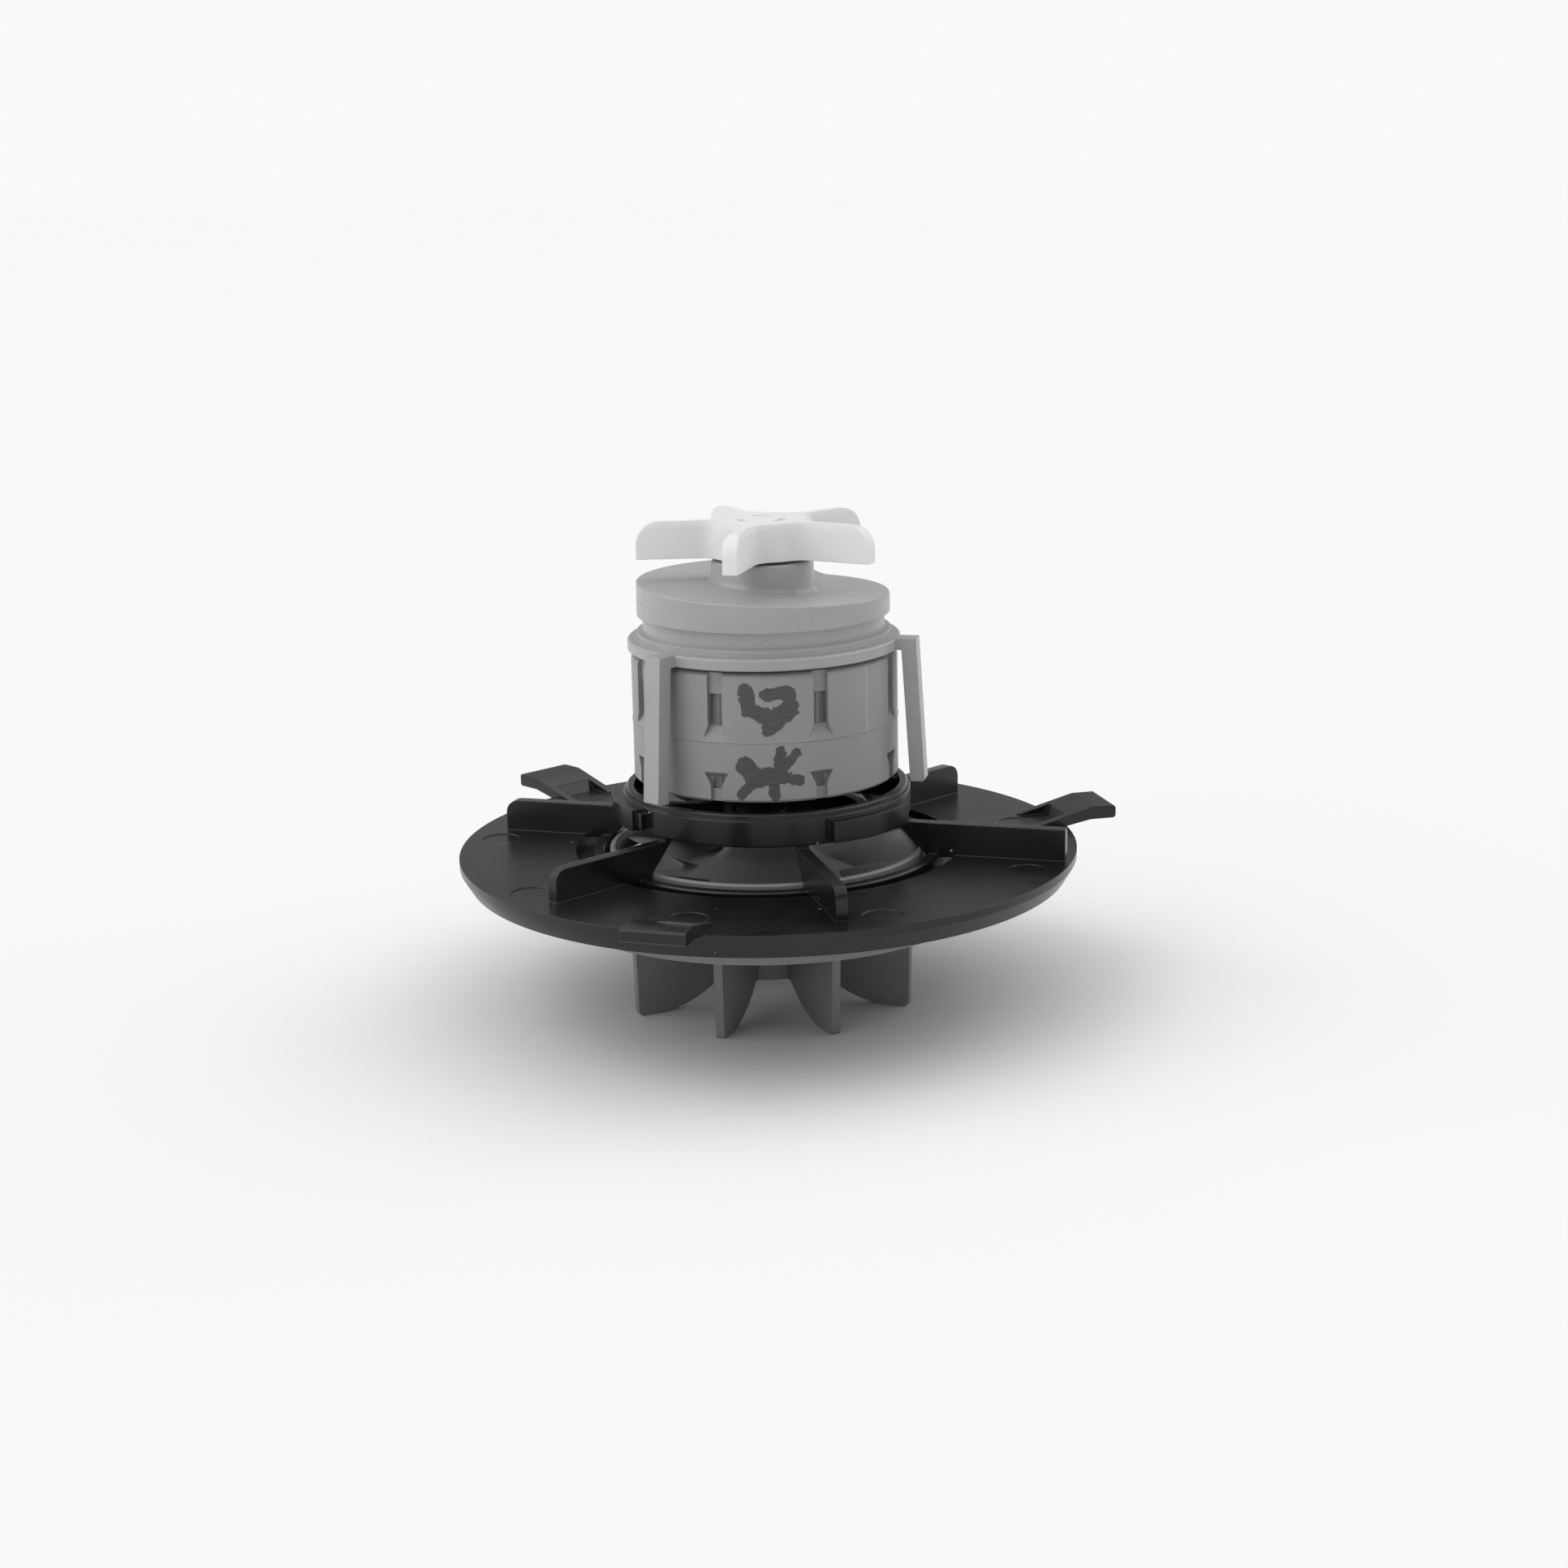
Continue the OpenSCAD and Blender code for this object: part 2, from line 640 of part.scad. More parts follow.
// Floor of the spiral chamber as a swept section, with a fillet at the boss and a soft rim
module spiral_deck() {
    low = band_top - cap_wall / 2;
    soft = 0.25;
    core_r = boss_r - 0.1;                      // just inside the boss
    wall_r = band_r - 0.05;                     // just inside the band
    pts = [for (i = [0:spiral_steps - 1])
        let (angle = -180 + i * 360 / spiral_steps, h = spiral_floor(angle),
             section = [[boss_r - 1.5, low], [boss_r - 1.5, h + 1.5], [core_r, h + 1.5],
                        [boss_r + 0.2, h + 0.75], [boss_r + 0.7, h + 0.2], [boss_r + 1.5, h],
                        [wall_r - soft, h], [wall_r, h - soft], [wall_r, low]])
        for (p = section) [p[0] * sin(angle), -p[0] * cos(angle), p[1]]];
    n = 9;
    faces = [for (i = [0:spiral_steps - 1]) for (j = [0:n - 1])
        let (k = (i + 1) % spiral_steps, l = (j + 1) % n)
        for (f = [[i * n + j, k * n + l, i * n + l], [i * n + j, k * n + j, k * n + l]]) f];
    polyhedron(points = pts, faces = faces, convexity = 6);
}

// One finger that reaches down outside the rotor
module cap_finger() {
    root_r = flange_r - 0.8;
    radial_plate(finger_w, [
        [root_r, cap_z + flange_h], [finger_top_r, cap_z + flange_h], [finger_tip_r, finger_tip_z + 0.4],
        [finger_tip_r - 0.4, finger_tip_z], [finger_tip_r - finger_t, finger_tip_z],
        [flange_r + 1, cap_z], [root_r, cap_z]]);
}

// Upper bearing cap with its seal groove, flange, boss and fingers
module bearing_cap() {
    flange_top = cap_z + flange_h;
    step_r = band_r + 0.6;
    pocket_r = bearing_r + press_gap;
    hub_low = cap_z + 0.2;
    fingers_step = 360 / finger_count;
    color("darkgray") difference() {
        union() {
            rotate_extrude() polygon([
                [0, hub_low], [pocket_r + pocket_wall, hub_low],
                [pocket_r + pocket_wall, band_top - cap_wall],
                [cap_inner_r, band_top - cap_wall], [cap_inner_r, cap_z], [flange_r - 0.2, cap_z],
                [flange_r, cap_z + 0.2], [flange_r, flange_top - 0.3], [flange_r - 0.3, flange_top],
                [step_r, flange_top], [step_r, flange_top + 0.5], [band_r + 0.1, flange_top + 0.5],
                [band_r + 0.1, lip_top_z], [groove_r, lip_top_z + 0.26], [groove_r, band_z],
                [band_r, band_z], [band_r, deck_z], [boss_r, deck_z],
                [boss_r, boss_top - 0.4], [boss_r - 0.4, boss_top], [0, boss_top]]);
            spiral_deck();
            for (i = [0:finger_count - 1]) at(finger_turn + i * fingers_step) cap_finger();
        }
        translate([0, 0, hub_low - cut]) cylinder(r = pocket_r, h = pocket_top - hub_low + cut);
        translate([0, 0, pocket_top - cut]) cylinder(r = shaft_r + 1.2, h = boss_top - pocket_top);
        translate([0, 0, seal_z]) cylinder(r = seal_r, h = boss_top - seal_z + cut);
    }
}

// Lip seal in the cap's boss
module shaft_seal() {
    body = seal_r - press_gap;
    lip = shaft_r + seal_gap;
    color("black") translate([0, 0, seal_z]) rotate_extrude() polygon([
        [body, 0], [body, seal_h], [body - 1.1, seal_h], [body - 1.1, 1.2], [lip + 0.9, 1.2],
        [lip + 0.9, seal_h - 0.6], [lip, seal_h - 0.2], [lip, seal_h - 0.9], [lip + 0.3, 1.6],
        [lip + 0.3, 0]]);
}

// Wave spring that loads the upper bearing
module preload_spring() {
    r_in = bearing_r - 3;
    r_out = bearing_r - 0.4;
    t = 0.25;
    waves = 3;
    steps = 72;
    swing = (spring_h - t) / 2 - 0.03;
    mid = pocket_top - spring_h / 2;
    pts = [for (i = [0:steps - 1]) let (a = i * 360 / steps, z = mid + swing * sin(waves * a))
        for (p = [[r_in, z - t / 2], [r_out, z - t / 2], [r_out, z + t / 2], [r_in, z + t / 2]])
            [p[0] * cos(a), p[0] * sin(a), p[1]]];
    faces = [for (i = [0:steps - 1]) for (j = [0:3])
        let (k = (i + 1) % steps, l = (j + 1) % 4)
        for (f = [[i * 4 + j, i * 4 + l, k * 4 + l], [i * 4 + j, k * 4 + l, k * 4 + j]]) f];
    color("silver") polyhedron(points = pts, faces = faces, convexity = 6);
}

// Flat disc with its rim, inlet lip, groove and ejector marks
module guide_disc() {
    web = -disc_wall;
    mark_depth = 0.15;
    edge = 0.3;
    difference() {
        rotate_extrude() polygon([
            [inlet_r, lip_bottom], [inlet_r, -edge], [inlet_r + edge, 0], [lip_r - edge, 0],
            [lip_r, -edge], [lip_r, -recess_depth], [recess_r, -recess_depth], [recess_r, 0],
            [disc_r, 0], [disc_r, -land_h], [disc_r - rim_draft, -rim_h],
            [disc_r - rim_draft - disc_wall, -rim_h], [disc_r - land_h - disc_wall, web],
            [recess_r + 1.6, web], [recess_r + 0.6, lip_bottom]]);
        for (i = [0:2]) {
            for (a = [22.5, 65.5]) at(a + i * 120)
                translate([rib_end_r - 0.8, 0, -mark_depth]) cylinder(r = eject_r, h = 1);
            at(clip_turn + i * 120)
                translate([clip_root_r - 2.5, 0, -mark_depth]) cylinder(r = eject_r, h = 1);
        }
    }
}

// Upright rib from the ring to its outer end
module guide_rib(end_r, round) {
    radial_plate(rib_w, concat(
        [[inlet_r + 0.1, -0.5], [end_r, -0.5]],
        arc(end_r - round, rib_h - round, round, 0, 90, 6),
        [[ring_r - 0.2, rib_h], [ring_r - 0.2, ring_z + 1], [ring_in_r + 0.1, ring_z + 1],
         [ring_in_r + 0.1, ring_z - 0.6]]));
}

// Bayonet lug outside the ring
module ring_lug() {
    low = ring_z + 0.6;
    arc_block(ring_r + lug_reach, ring_r - 0.5, low, 4.1, lug_turn - lug_span / 2, lug_span);
    arc_block(ring_r + lug_reach - 0.8, ring_r - 0.5, low + 0.6, 3, lug_turn + lug_span / 2 - 0.2, 4);
}

// Curved arm between the bearing carrier and the ring
module carrier_arm() {
    bow_r = 17;
    bow_turn = 38;
    inner = bearing_r + hub_wall - 0.4;
    z = ring_z + 0.6;
    rotate([0, 0, bow_turn]) intersection() {
        tube(ring_in_r + 0.3, inner, z, 4);
        translate([bow_r, 0, 0]) tube(bow_r + 1, bow_r - 1, z - 1, 6);
        translate([0, 0, z - 1]) cube([ring_r, ring_r, 6]);
    }
}

// Snap clip: two cheeks and a sloping tongue that ends in a flat lip
module disc_clip() {
    cheek = 1.6;
    low = -1.2;
    lip_low = clip_h - clip_t;
    nose = 0.4;
    start = clip_root_r + 5.2;
    slope = clip_h / (clip_knee_r - clip_root_r);
    difference() {
        radial_plate(clip_w, [
            [clip_root_r, low], [clip_root_r, 0.3], [clip_knee_r, clip_h], [clip_end_r - nose, clip_h],
            [clip_end_r, clip_h - nose], [clip_end_r, lip_low + nose], [clip_end_r - nose, lip_low],
            [clip_knee_r - 0.4, lip_low], [disc_r - 1, -0.15], [disc_r - 1, low]]);
        radial_plate(clip_w - 2 * cheek, [
            [clip_root_r - 1, 0], [start, 0], [start + 1.7, slope * (start + 1.7 - clip_root_r)],
            [start + 1.7, clip_h + 1], [clip_root_r - 1, clip_h + 1]]);
    }
}

// Carrier for the lower bearing, open at the top and stepped at the bottom
module bearing_carrier() {
    pocket_r = bearing_r + press_gap;
    difference() {
        translate([0, 0, carrier_z]) cylinder(r = bearing_r + hub_wall, h = carrier_top - carrier_z);
        translate([0, 0, lower_bearing_z]) cylinder(r = pocket_r, h = bearing_w + 3);
        translate([0, 0, lower_bearing_z + bearing_w])
            cylinder(r = bearing_r + 0.8, h = circlip_h + 0.1);
        translate([0, 0, carrier_z - cut]) cylinder(r = bearing_r - 1.8, h = 3);
    }
}

// Ring that takes the stator, beaded along its top
module stator_ring() {
    bead = 0.6;
    rotate_extrude() polygon([
        [ring_in_r, ring_z], [ring_r - 0.3, ring_z], [ring_r, ring_z + 0.3],
        [ring_r, ring_top - 1.3], [ring_r - 0.2, ring_top - 1.1], [ring_r - bead, ring_top - 1.1],
        [ring_r - bead, ring_top - 0.3], [ring_r - bead - 0.3, ring_top], [ring_in_r + 0.2, ring_top],
        [ring_in_r, ring_top - 0.2]]);
}

// Guide spider: disc, ribs, ring, lugs, clips and bearing carrier in one moulding
module guide_spider() {
    color("black") union() {
        guide_disc();
        stator_ring();
        bearing_carrier();
        for (i = [0:rib_count - 1])
            at(rib_turn + i * 360 / rib_count)
                if (i == 1) guide_rib(long_rib_r, 0.4); else guide_rib(rib_end_r, 2.6);
        for (i = [0:arm_count - 1]) rotate([0, 0, i * 360 / arm_count]) carrier_arm();
        for (i = [0:2]) {
            rotate([0, 0, i * 120]) ring_lug();
            at(clip_turn + i * 120) disc_clip();
        }
    }
}

// Circlip that holds the lower bearing in its carrier
module bearing_circlip() {
    opening = 44;
    z = lower_bearing_z + bearing_w;
    color("dimgray") {
        arc_block(bearing_r + 0.6, bearing_r - 1, z + 0.02, circlip_h - 0.04, opening / 2, 360 - opening);
        for (s = [-1, 1]) at(s * opening / 2) translate([bearing_r - 1.4, 0, z + 0.02]) difference() {
            cylinder(r = 1.5, h = circlip_h - 0.04);
            translate([0, 0, -cut]) cylinder(r = 0.6, h = 2);
        }
    }
}

shaft();
rotor_yoke();
rotor_sleeve();
for (i = [1:magnet_count]) magnet(i);
spacer(magnet_top, spacer_h);  // upper_spacer
spacer(lower_bearing_z + bearing_w, magnet_z - lower_bearing_z - bearing_w);  // lower_spacer
inner_race(upper_bearing_z);  // upper_bearing_inner
inner_race(lower_bearing_z);  // lower_bearing_inner
top_impeller();
lower_fan();
fan_washer();
fan_screw();
bearing_cap();
shaft_seal();
preload_spring();
outer_race(upper_bearing_z);  // upper_bearing_outer
bearing_cage(upper_bearing_z);  // upper_bearing_cage
bearing_balls(upper_bearing_z);  // upper_bearing_balls
bearing_shields(upper_bearing_z);  // upper_bearing_shields
guide_spider();
outer_race(lower_bearing_z);  // lower_bearing_outer
bearing_cage(lower_bearing_z);  // lower_bearing_cage
bearing_balls(lower_bearing_z);  // lower_bearing_balls
bearing_shields(lower_bearing_z);  // lower_bearing_shields
bearing_circlip();
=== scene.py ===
"""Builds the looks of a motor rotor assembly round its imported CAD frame.

Lengths are in metres in the row frame: +Z up the shaft, the origin on the shaft axis in the plane of
the guide disc's top face, and -Y towards the viewer. Angles count from -Y towards +X, in degrees.
"""

import logging
import math
from dataclasses import dataclass, field
from enum import Enum

import bpy
from mathutils import Matrix, Vector


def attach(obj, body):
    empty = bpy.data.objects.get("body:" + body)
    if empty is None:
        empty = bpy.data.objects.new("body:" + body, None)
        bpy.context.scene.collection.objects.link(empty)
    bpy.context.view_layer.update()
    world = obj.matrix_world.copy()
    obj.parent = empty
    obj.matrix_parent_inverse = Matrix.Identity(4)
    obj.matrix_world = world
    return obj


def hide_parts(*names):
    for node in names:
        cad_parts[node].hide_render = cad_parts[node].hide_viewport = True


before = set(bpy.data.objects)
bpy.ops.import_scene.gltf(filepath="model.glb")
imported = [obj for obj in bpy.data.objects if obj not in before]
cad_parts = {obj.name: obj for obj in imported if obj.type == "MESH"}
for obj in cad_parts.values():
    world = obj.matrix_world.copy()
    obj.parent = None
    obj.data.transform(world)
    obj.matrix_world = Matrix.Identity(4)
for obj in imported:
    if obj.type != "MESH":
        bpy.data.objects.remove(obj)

MM = 0.001
LOG = logging.getLogger("rotor_scene")


class Body(Enum):
    """Rigid bodies of the frame that pieces ride on."""

    ROTOR = "rotor"
    CAP = "cap"
    SPIDER = "spider"


def polar(radius: float, angle: float, z: float) -> Vector:
    """Point from a radius and height in millimetres and an angle in degrees.

    Args:
        radius: distance from the shaft axis, in millimetres.
        angle: angle from -Y towards +X, in degrees.
        z: height in millimetres.

    Returns:
        The point in metres.
    """
    turn = math.radians(angle)
    return Vector((radius * math.sin(turn), -radius * math.cos(turn), z)) * MM


# ---- Node sheets and shared effects ----


class NodeSheet:
    """Adds and links the nodes of one node tree."""

    def __init__(self, tree: bpy.types.NodeTree) -> None:
        """Args:
            tree: node tree to fill.
        """
        self.tree = tree

    def add(self, kind: str, settings: dict | None = None, **inputs: object) -> bpy.types.Node:
        """Adds a node and fills its inputs.

        Args:
            kind: node type name.
            settings: node properties by name.
            inputs: input sockets by name, with spaces as underscores; a socket or a value.

        Returns:
            The new node.
        """
        node = self.tree.nodes.new(kind)
        for name, value in (settings or {}).items():
            setattr(node, name, value)
        for name, value in inputs.items():
            self.put(node.inputs[name.replace("_", " ")], value)
        return node

    def put(self, socket: bpy.types.NodeSocket, value: object) -> None:
        """Links a socket or sets its value."""
        if isinstance(value, bpy.types.NodeSocket):
            self.tree.links.new(value, socket)
        else:
            socket.default_value = value

    def math(self, operation: str, *terms: object, clamp: bool = False) -> bpy.types.NodeSocket:
        """Result of a Math node.

        Args:
            operation: name of the operation.
            terms: sockets or numbers, in order.
            clamp: keep the result between 0 and 1.

        Returns:
            The output socket.
        """
        node = self.add("ShaderNodeMath", {"operation": operation, "use_clamp": clamp})
        for socket, term in zip(node.inputs, terms):
            self.put(socket, term)
        return node.outputs[0]

    def vector(self, operation: str, *terms: object) -> bpy.types.Node:
        """Vector Math node on its terms."""
        node = self.add("ShaderNodeVectorMath", {"operation": operation})
        for socket, term in zip(node.inputs, terms):
            self.put(socket, term)
        return node

    def fade(self, value: object, low: float, high: float, to_low: float = 0.0, to_high: float = 1.0) -> bpy.types.NodeSocket:
        """Smoothly maps a value from one range to another.

        Args:
            value: socket to map.
            low: value that gives to_low.
            high: value that gives to_high.
            to_low: result at low.
            to_high: result at high.

        Returns:
            The output socket.
        """
        node = self.add("ShaderNodeMapRange", {"interpolation_type": "SMOOTHSTEP"}, Value=value)
        for name, number in (("From Min", low), ("From Max", high), ("To Min", to_low), ("To Max", to_high)):
            self.put(node.inputs[name], number)
        return node.outputs["Result"]

    def blend(self, factor: object, first: object, second: object) -> bpy.types.NodeSocket:
        """Colour between two colours, from first at 0 to second at 1."""
        node = self.add("ShaderNodeMix", {"data_type": "RGBA"})
        self.put(node.inputs[0], factor)
        self.put(node.inputs[6], first)
        self.put(node.inputs[7], second)
        return node.outputs[2]

    def noise(self, where: object, scale: object, detail: float = 3.0, rough: float = 0.5) -> bpy.types.NodeSocket:
        """Value of a Noise texture at a vector."""
        node = self.add("ShaderNodeTexNoise", None, Vector=where, Scale=scale, Detail=detail, Roughness=rough)
        return node.outputs[0]

    def group(self, tree: bpy.types.NodeTree, **inputs: object) -> bpy.types.Node:
        """Node group placed with its inputs filled."""
        node = self.tree.nodes.new("ShaderNodeGroup")
        node.node_tree = tree
        for name, value in inputs.items():
            self.put(node.inputs[name.replace("_", " ")], value)
        return node


class EffectGroup:
    """Base of the shared effects: a shader node group with named inputs and outputs."""

    name = "effect"
    inputs: tuple = ()
    outputs: tuple = ()

    def __init__(self) -> None:
        """Builds the group once."""
        self.tree = bpy.data.node_groups.new(self.name, "ShaderNodeTree")
        for label, kind, value in self.inputs:
            socket = self.tree.interface.new_socket(name=label, in_out="INPUT", socket_type="NodeSocket" + kind)
            if value is not None:
                socket.default_value = value
        for label, kind in self.outputs:
            self.tree.interface.new_socket(name=label, in_out="OUTPUT", socket_type="NodeSocket" + kind)
        self.sheet = NodeSheet(self.tree)
        self.source = self.tree.nodes.new("NodeGroupInput")
        self.result = self.tree.nodes.new("NodeGroupOutput")
        self.fill()

    def given(self, label: str) -> bpy.types.NodeSocket:
        """Input of the group by name."""
        return self.source.outputs[label]

    def give(self, label: str, value: object) -> None:
        """Sends a value to an output of the group."""
        self.sheet.put(self.result.inputs[label], value)

    def place(self) -> bpy.types.NodeSocket:
        """Object coordinates inside the group."""
        return self.sheet.add("ShaderNodeTexCoord").outputs["Object"]

    def fill(self) -> None:
        """Makes the nodes inside the group."""
        raise NotImplementedError


class MouldGrain(EffectGroup):
    """Fine grain and slow tone changes of a moulded surface."""

    name = "mould_grain"
    inputs = (("Scale", "Float", 2200.0), ("Flow", "Float", 60.0))
    outputs = (("Height", "Float"), ("Tone", "Float"))

    def fill(self) -> None:
        """Makes the nodes inside the group."""
        fine = self.sheet.noise(self.place(), self.given("Scale"), 3.0, 0.6)
        slow = self.sheet.noise(self.place(), self.given("Flow"), 4.0, 0.55)
        self.give("Height", fine)
        self.give("Tone", self.sheet.fade(slow, 0.3, 0.7))


class Specks(EffectGroup):
    """Scattered small specks, such as dust or pigment."""

    name = "specks"
    inputs = (("Scale", "Float", 900.0), ("Share", "Float", 0.1), ("Size", "Float", 0.2))
    outputs = (("Mask", "Float"),)

    def fill(self) -> None:
        """Makes the nodes inside the group."""
        s = self.sheet
        cell = s.add("ShaderNodeTexVoronoi", None, Vector=self.place(), Scale=self.given("Scale"))
        parts = s.add("ShaderNodeSeparateColor", None, Color=cell.outputs["Color"])
        chosen = s.math("LESS_THAN", parts.outputs[0], self.given("Share"))
        reach = s.math("MULTIPLY", self.given("Size"), s.math("ADD", parts.outputs[1], 0.4))
        near = s.math("SUBTRACT", reach, cell.outputs["Distance"])
        self.give("Mask", s.math("MULTIPLY", chosen, s.fade(near, 0.0, 0.06)))


class Scratches(EffectGroup):
    """Sparse hairline scratches."""

    name = "hairlines"
    inputs = (("Scale", "Float", 90.0), ("Share", "Float", 0.4), ("Width", "Float", 0.006))
    outputs = (("Mask", "Float"),)

    def fill(self) -> None:
        """Makes the nodes inside the group."""
        s = self.sheet
        where = self.place()
        long_way = s.vector("MULTIPLY", where, (1.0, 0.35, 0.6)).outputs[0]
        wobble = s.add("ShaderNodeTexNoise", None, Vector=where, Scale=70.0, Detail=1.0)
        moved = s.vector("ADD", long_way, s.vector("SCALE", wobble.outputs[1]).outputs[0])
        moved.inputs[1].links[0].from_node.inputs["Scale"].default_value = 0.006
        cell = s.add("ShaderNodeTexVoronoi", {"feature": "DISTANCE_TO_EDGE"}, Vector=moved.outputs[0], Scale=self.given("Scale"))
        line = s.math("LESS_THAN", cell.outputs["Distance"], self.given("Width"))
        patch = s.math("LESS_THAN", s.noise(where, 110.0, 2.0), self.given("Share"))
        self.give("Mask", s.math("MULTIPLY", line, patch))


class SoftEdge(EffectGroup):
    """Rounded look of moulded edges, and a mask of where the edges are."""

    name = "soft_edge"
    inputs = (("Radius", "Float", 0.0003),)
    outputs = (("Normal", "Vector"), ("Edge", "Float"))

    def fill(self) -> None:
        """Makes the nodes inside the group."""
        s = self.sheet
        bevel = s.add("ShaderNodeBevel", {"samples": 6}, Radius=self.given("Radius"))
        flat = s.add("ShaderNodeNewGeometry").outputs["Normal"]
        along = s.vector("DOT_PRODUCT", bevel.outputs[0], flat).outputs["Value"]
        self.give("Normal", bevel.outputs[0])
        self.give("Edge", s.fade(along, 0.99, 0.8))


class LongLines(EffectGroup):
    """Grinding lines that run along the shaft, or round it."""

    name = "long_lines"
    inputs = (("Across", "Float", 2600.0), ("Along", "Float", 60.0), ("Round", "Float", 0.0))
    outputs = (("Height", "Float"), ("Tone", "Float"))

    def fill(self) -> None:
        """Makes the nodes inside the group."""
        s = self.sheet
        parts = s.add("ShaderNodeSeparateXYZ", None, Vector=self.place())
        x, y, z = parts.outputs
        turn = s.math("ARCTAN2", x, s.math("MULTIPLY", y, -1.0))
        radius = s.math("SQRT", s.math("ADD", s.math("MULTIPLY", x, x), s.math("MULTIPLY", y, y)))
        arc = s.math("MULTIPLY", turn, radius)
        upright = s.add("ShaderNodeCombineXYZ", None, X=s.math("MULTIPLY", arc, self.given("Across")), Y=s.math("MULTIPLY", z, self.given("Along")))
        ringed = s.add("ShaderNodeCombineXYZ", None, X=s.math("MULTIPLY", z, self.given("Across")), Y=s.math("MULTIPLY", radius, self.given("Across")), Z=s.math("MULTIPLY", arc, self.given("Along")))
        pick = s.add("ShaderNodeMix", {"data_type": "VECTOR"})
        s.put(pick.inputs[0], self.given("Round"))
        s.put(pick.inputs[4], upright.outputs[0])
        s.put(pick.inputs[5], ringed.outputs[0])
        lines = s.noise(pick.outputs[1], 1.0, 2.0, 0.7)
        self.give("Height", lines)
        self.give("Tone", s.fade(lines, 0.35, 0.65))


class BrushStroke(EffectGroup):
    """Distance in millimetres from one straight dab of a brush, negative inside it."""

    name = "brush_stroke"
    inputs = (("At", "Vector", None), ("From", "Vector", None), ("To", "Vector", None), ("Radius", "Float", 1.0))
    outputs = (("Distance", "Float"),)

    def fill(self) -> None:
        """Makes the nodes inside the group."""
        s = self.sheet
        way = s.vector("SUBTRACT", self.given("To"), self.given("From")).outputs[0]
        rel = s.vector("SUBTRACT", self.given("At"), self.given("From")).outputs[0]
        share = s.math(
            "DIVIDE",
            s.vector("DOT_PRODUCT", rel, way).outputs["Value"],
            s.vector("DOT_PRODUCT", way, way).outputs["Value"],
            clamp=True,
        )
        foot = s.vector("SCALE", way)
        s.put(foot.inputs["Scale"], share)
        off = s.vector("SUBTRACT", rel, foot.outputs[0]).outputs[0]
        length = s.vector("LENGTH", off).outputs["Value"]
        self.give("Distance", s.math("SUBTRACT", length, self.given("Radius")))


class Effects:
    """The shared effects, each built once."""

    def __init__(self) -> None:
        """Builds every group."""
        self.grain = MouldGrain().tree
        self.specks = Specks().tree
        self.scratches = Scratches().tree
        self.edge = SoftEdge().tree
        self.lines = LongLines().tree
        self.stroke = BrushStroke().tree


# ---- Finishes ----


@dataclass(frozen=True)
class Finish:
    """Look of one material; the base builds moulded plastic."""

    name: str
    colour: tuple[float, float, float]
    roughness: float
    specular: float = 0.5
    grain: float = 0.05
    grain_scale: float = 2200.0
    tone: float = 0.06
    edge_radius: float = 0.25
    # How far edges are lightened in colour: a painted highlight along the edges.
    edge_highlight_strength: float = 0.15
    speck_colour: tuple[float, float, float] = (0.2, 0.2, 0.2)
    speck_share: float = 0.0
    speck_scale: float = 900.0
    speck_size: float = 0.2
    scratch: float = 0.0
    soft: float = 0.0

    def build(self, effects: Effects) -> bpy.types.Material:
        """Makes the material.

        Args:
            effects: shared node groups.

        Returns:
            The material, ready for a slot.
        """
        material = bpy.data.materials.new(self.name)
        material.use_nodes = True
        material.diffuse_color = (*self.colour, 1.0)
        sheet = NodeSheet(material.node_tree)
        shader = material.node_tree.nodes["Principled BSDF"]
        grain = sheet.group(effects.grain, Scale=self.grain_scale)
        edge = sheet.group(effects.edge, Radius=self.edge_radius * MM)
        dark = tuple(c * (1 - self.tone) for c in self.colour)
        light = tuple(min(1.0, c * (1 + self.tone)) for c in self.colour)
        colour = sheet.blend(grain.outputs["Tone"], (*dark, 1.0), (*light, 1.0))
        # Every edge is lightened in colour, varied by the grain tone: a painted highlight along the edges. The
        # scratches below take the same lighter colour as real wear.
        highlight_and_scratch_colour = tuple(min(1.0, c + self.edge_highlight_strength * (1 - c)) for c in self.colour)
        painted_edge_highlight = sheet.math("MULTIPLY", edge.outputs["Edge"], sheet.fade(grain.outputs["Tone"], 0.2, 0.9, 0.25, 0.8))
        colour = sheet.blend(painted_edge_highlight, colour, (*highlight_and_scratch_colour, 1.0))
        if self.speck_share:
            specks = sheet.group(effects.specks, Scale=self.speck_scale, Share=self.speck_share, Size=self.speck_size)
            colour = sheet.blend(specks.outputs["Mask"], colour, (*self.speck_colour, 1.0))
        rough = sheet.fade(grain.outputs["Tone"], 0.0, 1.0, self.roughness * 0.9, min(1.0, self.roughness * 1.12))
        if self.scratch:
            lines = sheet.group(effects.scratches, Share=self.scratch)
            rough = sheet.math("ADD", rough, sheet.math("MULTIPLY", lines.outputs["Mask"], 0.25), clamp=True)
            colour = sheet.blend(sheet.math("MULTIPLY", lines.outputs["Mask"], 0.35), colour, (*highlight_and_scratch_colour, 1.0))
        colour = self.extra(sheet, effects, colour)
        bump = sheet.add("ShaderNodeBump", None, Strength=self.grain, Height=grain.outputs["Height"], Normal=edge.outputs["Normal"])
        bump.inputs["Distance"].default_value = 0.05 * MM
        sheet.put(shader.inputs["Base Color"], colour)
        sheet.put(shader.inputs["Roughness"], rough)
        sheet.put(shader.inputs["Normal"], bump.outputs[0])
        shader.inputs["Specular IOR Level"].default_value = self.specular
        if self.soft:
            shader.inputs["Subsurface Weight"].default_value = self.soft
            shader.inputs["Subsurface Radius"].default_value = (1.0, 1.0, 1.0)
            shader.inputs["Subsurface Scale"].default_value = 1.2 * MM
        return material

    def extra(self, sheet: NodeSheet, effects: Effects, colour: bpy.types.NodeSocket) -> bpy.types.NodeSocket:
        """Adds what only this finish has to its colour; the base adds nothing."""
        return colour


